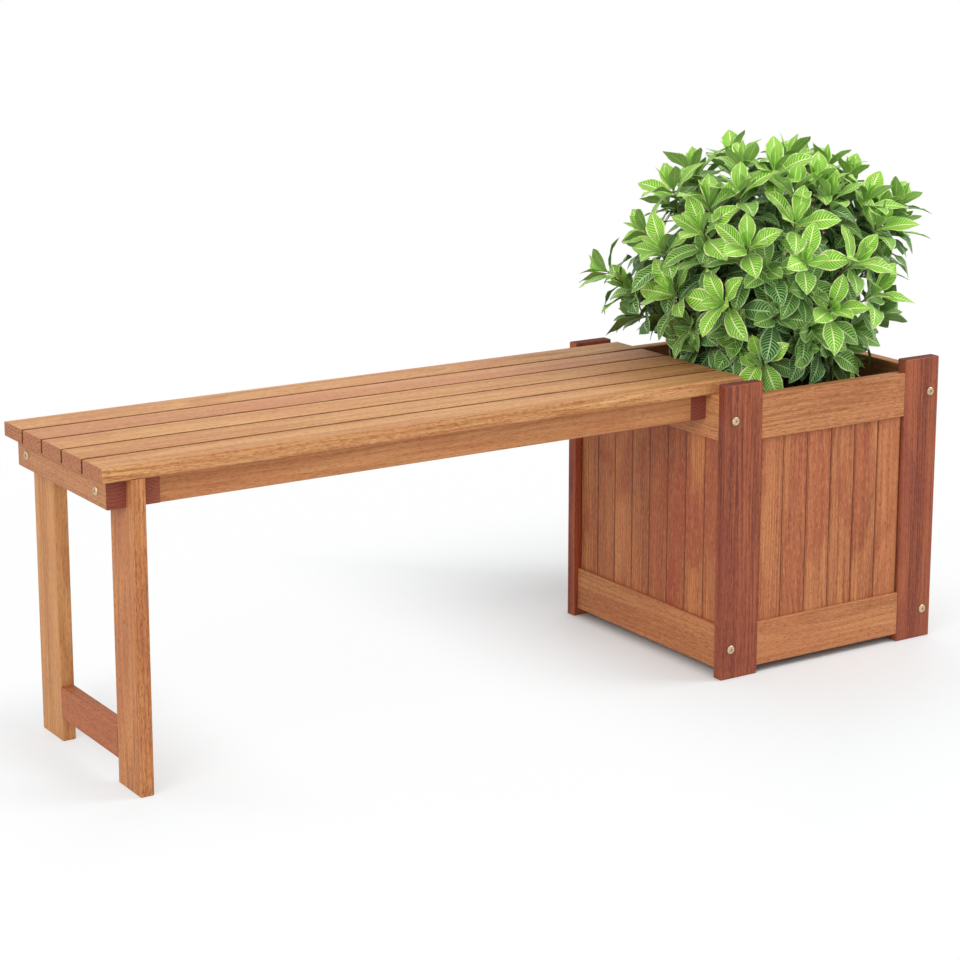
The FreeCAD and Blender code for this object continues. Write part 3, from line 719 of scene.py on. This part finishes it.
def leafHalfWidth(part):
    if part == 1:
        return leafShape["tipHalfWidth"]
    if part <= leafShape["stalk"]:
        return leafShape["stalkHalfWidth"]
    along = (part - leafShape["stalk"]) / (1 - leafShape["stalk"])
    return leafShape["baseHalfWidth"] + leafShape["halfWidth"] * math.sin(math.pi * along ** 1.2)


def makeLeaf(name, curl, ripple):
    # grows along X, closed above and below
    shell = bmesh.new()
    uvLayer = shell.loops.layers.uv.new("UVMap")
    above, below = [], []
    for part in leafShape["rows"]:
        bend = curl * part ** 1.5
        lift = leafShape["lift"] - math.sin(bend * 0.62)
        centre = Vector((part * math.cos(bend * 0.55), 0, part * lift))
        width = leafHalfWidth(part)
        rise = leafShape["fold"] * (1 - 0.55 * part)
        upper = []
        for place in leafShape["topColumns"]:
            side = abs(place)
            turn = part * leafShape["rippleWaves"] + place * 1.3
            wave = ripple * width * math.sin(turn) * side
            lift = width * rise * (side - 0.35 * side * side) + wave
            upper.append(shell.verts.new(centre + Vector((0, place * width, lift))))
        spine = shell.verts.new(centre - Vector((0, 0, leafShape["thickness"])))
        above.append(upper)
        below.append([upper[0], spine, upper[-1]])
    sheets = ((above, leafShape["topColumns"], 0),
              (below, leafShape["underColumns"], leafShape["underShift"]))
    for row in range(len(above) - 1):
        for sheet, columns, shift in sheets:
            for column in range(len(columns) - 1):
                corners = [(row, column), (row, column + 1),
                           (row + 1, column + 1), (row + 1, column)]
                if shift:
                    corners.reverse()
                # faces point up above and down below
                face = shell.faces.new([sheet[line][spot] for line, spot in corners])
                face.smooth = True
                for loop, (line, spot) in zip(face.loops, corners):
                    across = leafShape["uvHalf"] + leafShape["uvHalf"] * columns[spot]
                    loop[uvLayer].uv = (across + shift, leafShape["rows"][line])
    for end in (0, len(above) - 1):
        ring = above[end] + below[end][-2:0:-1]
        face = shell.faces.new(ring if end == 0 else ring[::-1])
        face.smooth = True
    bmesh.ops.recalc_face_normals(shell, faces=shell.faces)
    for edge in shell.edges:
        # the margin, where the upper sheet meets the lower one, stays crisp
        if edge.calc_face_angle(0) > leafShape["creaseAngle"]:
            edge.smooth = False
    return keptShape(name, shell)


def makeFoliageTree():
    tree, given, result = newGroup("foliage", {
        "Shoots": "Geometry", "Leaf Kinds": "Collection", "Kind Count": 4, "Leaves Per Shoot": 14,
        "Leaf Length": 0.06, "Length Variation": 0.14, "Inner Tilt": 0.3, "Outer Tilt": 1.6,
        "Tilt Variation": 0.16, "Leaf Spacing": 0.03, "Rim Height": 0.45,
        "Trough Middle": (0, 0, 0), "Trough Half": (0.13, 0.16, 1), "Seed": 3,
        "Leaf Finish": "Material"},
        {"Mesh": "Geometry"}, "GeometryNodeTree")

    def read(name, kind):
        node = newNode(tree, "GeometryNodeInputNamedAttribute", data_type=kind)
        node.inputs["Name"].default_value = name
        return node.outputs[0]

    inputs = {"Geometry": given["Shoots"], "Amount": given["Leaves Per Shoot"]}
    copies = addNode("GeometryNodeDuplicateElements", inputs, domain="POINT")
    last = minus(given["Leaves Per Shoot"], 1)
    age = calc("DIVIDE", copies.outputs["Duplicate Index"], last)
    spots = stored(copies.outputs[0], "age", age, "POINT")
    age, axis, seed = read("age", "FLOAT"), read("axis", "FLOAT_VECTOR"), given["Seed"]

    # older leaves sit further down the shoot
    drop = times(calc("POWER", age, 2.4), times(given["Leaf Spacing"], -1.0))
    spots = moved(spots, scaled(axis, drop))

    # they turn by the golden angle from one to the next, and open out with age
    golden = times(times(age, last), goldenAngle)
    turn = plus(golden, chance(seed, 1, -0.2, 0.2))
    opened = between(calc("POWER", age, 0.55), given["Inner Tilt"], given["Outer Tilt"])
    spread = times(chance(seed, 2, -1.0, 1.0), given["Tilt Variation"])
    tilt = minus(plus(opened, spread), math.pi / 2)
    euler = fromAxes({0: chance(seed, 3, -0.25, 0.25), 1: tilt, 2: turn})
    local = addNode("FunctionNodeEulerToRotation", {0: euler}).outputs[0]
    upright = addNode("FunctionNodeAlignRotationToVector", {"Vector": axis}, axis="Z").outputs[0]
    facing = addNode("FunctionNodeRotateRotation", {"Rotation": upright, "Rotate By": local},
                     rotation_space="LOCAL").outputs[0]

    vigour = ease(age, 0.0, 0.4, 0.6, 1.0)
    varied = times(chance(seed, 4, -1.0, 1.0), given["Length Variation"])
    size = times(times(vigour, plus(varied, 1.0)), given["Leaf Length"])

    # a leaf whose tip would reach into the seat or the planter's rim is left out
    growth = addNode("FunctionNodeRotateVector", {0: (1, 0, -0.3), 1: facing}).outputs[0]
    here = newNode(tree, "GeometryNodeInputPosition").outputs[0]
    tip = vectorCalc("ADD", here, scaled(growth, size))
    outside = offBox(tip, given["Trough Middle"], given["Trough Half"], "DIVIDE")
    low = calc("LESS_THAN", axisOf(tip, 2), given["Rim Height"])
    spots = without(spots, times(calc("GREATER_THAN", outside, 1.0), low))

    # the youngest leaves are the straightest kind
    kind = plus(times(age, minus(given["Kind Count"], 1)), chance(seed, 5, -0.4, 0.9))
    kind = addNode("FunctionNodeFloatToInt", {0: kind}).outputs[0]
    leaves = placeKinds(spots, given["Leaf Kinds"], kind, facing, size)
    leaves = stored(leaves, "lively", chance(seed, 6, 0.0, 1.0), "INSTANCE")
    endTree(result["Mesh"], leaves, given["Leaf Finish"])
    return tree


leafColours = {"brightBlade": srgb(126, 206, 14), "brightVein": srgb(255, 255, 186),
               "shadeBlade": srgb(42, 90, 42), "shadeVein": srgb(186, 222, 158),
               "mottle": srgb(84, 148, 34), "under": srgb(142, 174, 104),
               "tip": srgb(206, 196, 130), "veinPairs": 15.0}


def leafMaterial():
    material, tree, shader = newMaterial("leafBlade", IOR=1.42, Specular_IOR_Level=0.32)
    uv = newNode(tree, "ShaderNodeUVMap", uv_map="UVMap").outputs[0]
    acrossMap, along = axisOf(uv, 0), axisOf(uv, 1)
    below = calc("GREATER_THAN", acrossMap, 1.0)
    across = minus(acrossMap, times(below, leafShape["underShift"]))
    side = calc("ABSOLUTE", minus(across, leafShape["uvHalf"]))
    side = calc("DIVIDE", side, leafShape["uvHalf"])
    forward = times(calc("POWER", side, 1.25), 0.17)
    phase = times(minus(along, forward), leafColours["veinPairs"])
    offVein = calc("PINGPONG", phase, 0.5)
    sideVein = times(ease(offVein, 0.16, 0.05), ease(side, 1.0, 0.3, 0.6, 1.0))
    ribs = calc("MAXIMUM", sideVein, ease(side, 0.1, 0.035))
    margin = times(ease(side, 0.82, 0.93), 0.95)
    veins = times(calc("MAXIMUM", ribs, margin), 0.95)

    def named(name):
        return newNode(tree, "ShaderNodeAttribute", attribute_name=name).outputs["Fac"]

    light = plus(named("light"), times(minus(named("lively"), 0.5), 0.3))
    light = clamped(minus(light, ease(named("age"), 0.42, 0.78, 0.0, 0.85)))
    mottle = noise(objectPlace(tree), 120, 2)
    blade = mixColour(light, leafColours["shadeBlade"], leafColours["brightBlade"])
    blade = mixColour(ease(mottle, 0.35, 0.7, 0.0, 0.25), blade, leafColours["mottle"])
    pale = mixColour(light, leafColours["shadeVein"], leafColours["brightVein"])
    colour = mixColour(veins, blade, pale)
    tipped = times(ease(along, 0.93, 1.0), 0.5)
    colour = mixColour(tipped, colour, leafColours["tip"])
    underside = mixColour(0.55, colour, leafColours["under"])
    quilt = minus(times(offVein, 1.4), ribs)
    setShader(shader, Base_Color=mixColour(below, colour, underside),
              Roughness=ease(plus(below, mottle), 0.3, 1.4, 0.4, 0.68),
              Normal=bump(0.5, 0.0008, quilt))
    return material


def makeFoliage(shoots):
    shapes = enumerate(zip(leafShape["curls"], leafShape["ripples"]))
    kinds = [makeLeaf("leafKind" + str(number), curl, ripple) for number, (curl, ripple) in shapes]
    source = newShape("shootTips", [tip for tip, axis, light, turn in shoots], [])
    attributes = source.data.attributes
    attributes.new("axis", "FLOAT_VECTOR", "POINT").data.foreach_set(
        "vector", [value for tip, axis, light, turn in shoots for value in axis])
    attributes.new("light", "FLOAT", "POINT").data.foreach_set(
        "value", [light for tip, axis, light, turn in shoots])
    piece = growFromKinds("foliage", source, makeFoliageTree(), "Leaf Kinds", kinds, {
        "Kind Count": len(kinds), "Leaves Per Shoot": plant["leavesPerShoot"],
        "Leaf Length": plant["leafLength"], "Inner Tilt": math.radians(plant["innerTilt"]),
        "Outer Tilt": math.radians(plant["outerTilt"]), "Leaf Spacing": plant["leafSpacing"],
        "Rim Height": plant["rimHeight"], "Trough Middle": plant["planterMiddle"],
        "Trough Half": Vector((*plant["openingHalf"], 9)), "Seed": plant["seed"],
        "Leaf Finish": leafMaterial()})
    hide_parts("plant_crown")
    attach(piece, "root")


soil = {"rimLevel": 0.345, "mound": 0.015, "moundInset": 0.07, "bottom": 0.3,
        "columns": 44, "rows": 56, "unevenness": 0.007, "crumbs": 9000.0, "crumbKinds": 4,
        "smallest": 0.0016, "largest": 0.0048, "edgeClearance": 0.007, "seed": 9}
soilColours = {"hollow": srgb(44, 31, 23), "clod": srgb(86, 62, 45), "darkBark": srgb(92, 60, 38),
               "paleBark": srgb(128, 90, 58), "perlite": srgb(198, 192, 178)}


def makeSoilBed():
    # a closed bed of soil that fills the planter wall to wall, higher in the middle
    spans = list(zip(*cornersOf("potting_soil")))
    low, high = Vector(map(min, spans)), Vector(map(max, spans))
    columns, rows = soil["columns"], soil["rows"]
    points, faces = [], []
    for row in range(rows + 1):
        for column in range(columns + 1):
            x = low.x + (high.x - low.x) * column / columns
            y = low.y + (high.y - low.y) * row / rows
            toEdge = min(x - low.x, high.x - x, y - low.y, high.y - y)
            part = min(1.0, toEdge / soil["moundInset"])
            points.append((x, y, soil["rimLevel"] + soil["mound"] * part * part * (3 - 2 * part)))
    for row in range(rows):
        for column in range(columns):
            first = row * (columns + 1) + column
            faces.append((first, first + 1, first + columns + 2, first + columns + 1))
    rim = list(range(columns))
    rim += [row * (columns + 1) + columns for row in range(rows)]
    rim += [rows * (columns + 1) + column for column in range(columns, 0, -1)]
    rim += [row * (columns + 1) for row in range(rows, 0, -1)]
    start = len(points)
    points += [(points[index][0], points[index][1], soil["bottom"]) for index in rim]
    for number in range(len(rim)):
        following = (number + 1) % len(rim)
        faces.append((rim[following], rim[number], start + number, start + following))
    faces.append(tuple(reversed(range(start, len(points)))))
    return newShape("soilBed", points, faces), (low + high) / 2, (high - low) / 2


def makeSoilTree():
    tree, given, result = newGroup("soilSurface", {
        "Bed": "Geometry", "Crumb Kinds": "Collection", "Kind Count": 4, "Unevenness": 0.006,
        "Rim Level": 0.345, "Crumbs Per Area": 6000.0, "Smallest": 0.001, "Largest": 0.004,
        "Middle": (0, 0, 0), "Half": (0.1, 0.1, 1), "Seed": 1, "Soil Finish": "Material"},
        {"Mesh": "Geometry"}, "GeometryNodeTree")
    place = newNode(tree, "GeometryNodeInputPosition").outputs[0]
    sink = times(minus(noise(place, 55, 4), 0.75), given["Unevenness"])
    isTop = calc("GREATER_THAN", axisOf(place, 2), minus(given["Rim Level"], 0.001))
    bed = moved(given["Bed"], fromAxes({2: times(sink, isTop)}))

    facing, seed = newNode(tree, "GeometryNodeInputNormal").outputs[0], given["Seed"]
    inputs = {"Mesh": bed, "Selection": calc("GREATER_THAN", axisOf(facing, 2), 0.3),
              "Density": given["Crumbs Per Area"], "Seed": seed}
    spots = addNode("GeometryNodeDistributePointsOnFaces", inputs,
                    distribute_method="RANDOM").outputs[0]
    # crumbs stay clear of the planter's walls
    outside = offBox(place, given["Middle"], given["Half"], "DIVIDE")
    spots = without(spots, calc("GREATER_THAN", outside, 1.0))

    # most crumbs are small, and most are of the first kinds
    share = calc("POWER", chance(seed, 1, 0.0, 1.0), 2.6)
    size = between(share, given["Smallest"], given["Largest"])
    kind = times(calc("POWER", chance(seed, 2, 0.0, 0.999), 2.2), given["Kind Count"])
    kind = addNode("FunctionNodeFloatToInt", {0: kind}, rounding_mode="FLOOR").outputs[0]
    turn = chance(seed, 3, (0, 0, 0), (6.28, 6.28, 6.28))
    turn = addNode("FunctionNodeEulerToRotation", {0: turn}).outputs[0]
    crumbs = placeKinds(spots, given["Crumb Kinds"], kind, turn, size)
    crumbs = stored(crumbs, "grain", chance(seed, 4, 0.05, 1.0), "INSTANCE")
    joined = addNode("GeometryNodeJoinGeometry", {0: bed})
    plug(joined.inputs[0], crumbs)
    endTree(result["Mesh"], joined.outputs[0], given["Soil Finish"])
    return tree


def soilMaterial():
    material, tree, shader = newMaterial("pottingSoil", Roughness=0.95, Specular_IOR_Level=0.2)
    place = objectPlace(tree)
    grain = newNode(tree, "ShaderNodeAttribute", attribute_name="grain").outputs["Fac"]
    clods = ease(noise(place, 160, 4, 0.6), 0.35, 0.68)
    fine = noise(place, 900, 2, 0.6)
    colour = mixColour(clods, soilColours["hollow"], soilColours["clod"])
    bark = mixColour(ease(fine, 0.35, 0.7), soilColours["darkBark"], soilColours["paleBark"])
    colour = mixColour(ease(grain, 0.55, 0.7), colour, bark)
    colour = mixColour(ease(grain, 0.945, 0.955), colour, soilColours["perlite"])
    setShader(shader, Base_Color=colour, Normal=bump(0.7, 0.0012, fine))
    return material


def makeCrumb(number):
    # a small angular crumb, flatter from one kind to the next
    rng = random.Random(soil["seed"] + number)
    crumb = bmesh.new()
    bmesh.ops.create_icosphere(crumb, subdivisions=1, radius=1.0)
    for vertex in crumb.verts:
        vertex.co *= rng.uniform(0.75, 1.15)
        vertex.co.x *= 1 + 0.35 * number
        vertex.co.z *= 1 - 0.2 * number
    return keptShape("soilCrumb" + str(number), crumb)


def makeSoil():
    bed, middle, half = makeSoilBed()
    kinds = [makeCrumb(number) for number in range(soil["crumbKinds"])]
    inner = half - Vector((soil["edgeClearance"], soil["edgeClearance"], 0))
    piece = growFromKinds("soilBed", bed, makeSoilTree(), "Crumb Kinds", kinds, {
        "Kind Count": len(kinds), "Unevenness": soil["unevenness"], "Rim Level": soil["rimLevel"],
        "Crumbs Per Area": soil["crumbs"], "Smallest": soil["smallest"], "Largest": soil["largest"],
        "Middle": middle, "Half": inner, "Seed": soil["seed"], "Soil Finish": soilMaterial()})
    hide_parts("potting_soil")
    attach(piece, "root")


makeSoil()
print("soil laid")
shoots = placeShoots()
makeStems(shoots)
makeFoliage(shoots)
print("plant grown, shoots:", len(shoots))


studio = {"floorColour": (0.825, 0.865, 0.88, 1), "floorHalf": 9.0, "nearClear": 0.95,
          "clearFrom": 1.0, "clearTo": 2.4, "worldLevel": 0.72}
lamps = {
    "keyLamp": {"place": (3.2, -1.6, 3.6), "target": (0.1, 0, 0.3), "size": 2.2, "power": 98},
    "fillLamp": {"place": (-3.7, -1.9, 2.4), "target": (-0.2, 0, 0.3), "size": 2.6, "power": 80},
}
# round the planter and the legs the floor keeps more of its own shade: each pool's middle, its half
# size, how clear the floor is in it, and how far out that fades
shadowPools = (((0.458, 0, 0), (0.05, 0.32, 0), 0.1, 0.5),
               ((0.458, 0, 0), (0.19, 0.19, 0), 0.0, 0.07),
               ((-0.67, 0, 0), (0, 0.14, 0), 0.5, 0.25))


def isSeen(tree, first, *others):
    path = newNode(tree, "ShaderNodeLightPath").outputs
    seen = path[first]
    for title in others:
        seen = calc("MAXIMUM", seen, path[title])
    return seen


def makeFloor():
    half = studio["floorHalf"]
    corners = [(-half, -half, 0), (half, -half, 0), (half, half, 0), (-half, half, 0)]
    floor = newShape("studioFloor", corners, [(0, 1, 2, 3)])
    scene.collection.objects.link(floor)
    material, tree, shader = newMaterial(
        "studioFloor", Base_Color=studio["floorColour"], Roughness=0.6, Specular_IOR_Level=0.2)
    place = objectPlace(tree)
    near = clear = studio["nearClear"]
    for middle, poolHalf, poolClear, poolFade in shadowPools:
        off = offBox(place, middle, poolHalf, "SUBTRACT")
        near = calc("MINIMUM", ease(off, 0.0, poolFade, poolClear, clear), near)
    away = vectorCalc("LENGTH", place)
    fade = ease(away, studio["clearFrom"], studio["clearTo"], near, 1.0)
    seen = isSeen(tree, "Is Camera Ray", "Is Glossy Ray")
    white = newNode(tree, "ShaderNodeEmission").outputs[0]
    inputs = {0: times(fade, seen), 1: shader.outputs[0], 2: white}
    blend = addNode("ShaderNodeMixShader", inputs).outputs[0]
    plug(tree.nodes["Material Output"].inputs["Surface"], blend)
    floor.data.materials.append(material)


def makeWorld():
    # white where it is seen, and softer where it lights the object
    world = bpy.data.worlds.new("studioWorld")
    world.use_nodes = True
    tree = world.node_tree
    seen = isSeen(tree, "Is Camera Ray", "Is Glossy Ray", "Is Transmission Ray")
    background = tree.nodes["Background"].inputs
    plug(background["Strength"], between(seen, studio["worldLevel"], 1.0))
    background["Color"].default_value = (1, 1, 1, 1)
    scene.world = world


def makeLamp(name, place, target, size, power):
    light = bpy.data.lights.new(name, "AREA")
    light.shape = "DISK"
    light.size = size
    light.energy = power
    lamp = bpy.data.objects.new(name, light)
    lamp.location = place
    lamp.rotation_euler = (Vector(target) - Vector(place)).to_track_quat("-Z", "Y").to_euler()
    scene.collection.objects.link(lamp)


makeFloor()
makeWorld()
for name, lamp in lamps.items():
    makeLamp(name, **lamp)
scene.view_settings.view_transform = "Standard"
print("studio ready")

camera = {"place": (-1.9742, -2.9869, 1.2202), "turnRight": 32.812, "tiltDown": 12.191,
          "lens": 93.5, "shiftUp": -0.1, "sensorWidth": 36}
viewer = bpy.data.objects.new("photoCamera", bpy.data.cameras.new("photoCamera"))
viewer.location = camera["place"]
upTurn, sideTurn = math.radians(90 - camera["tiltDown"]), -math.radians(camera["turnRight"])
viewer.rotation_euler = (upTurn, 0, sideTurn)
viewer.data.lens = camera["lens"]
viewer.data.shift_y = camera["shiftUp"]
viewer.data.sensor_width = camera["sensorWidth"]
scene.collection.objects.link(viewer)
scene.camera = viewer
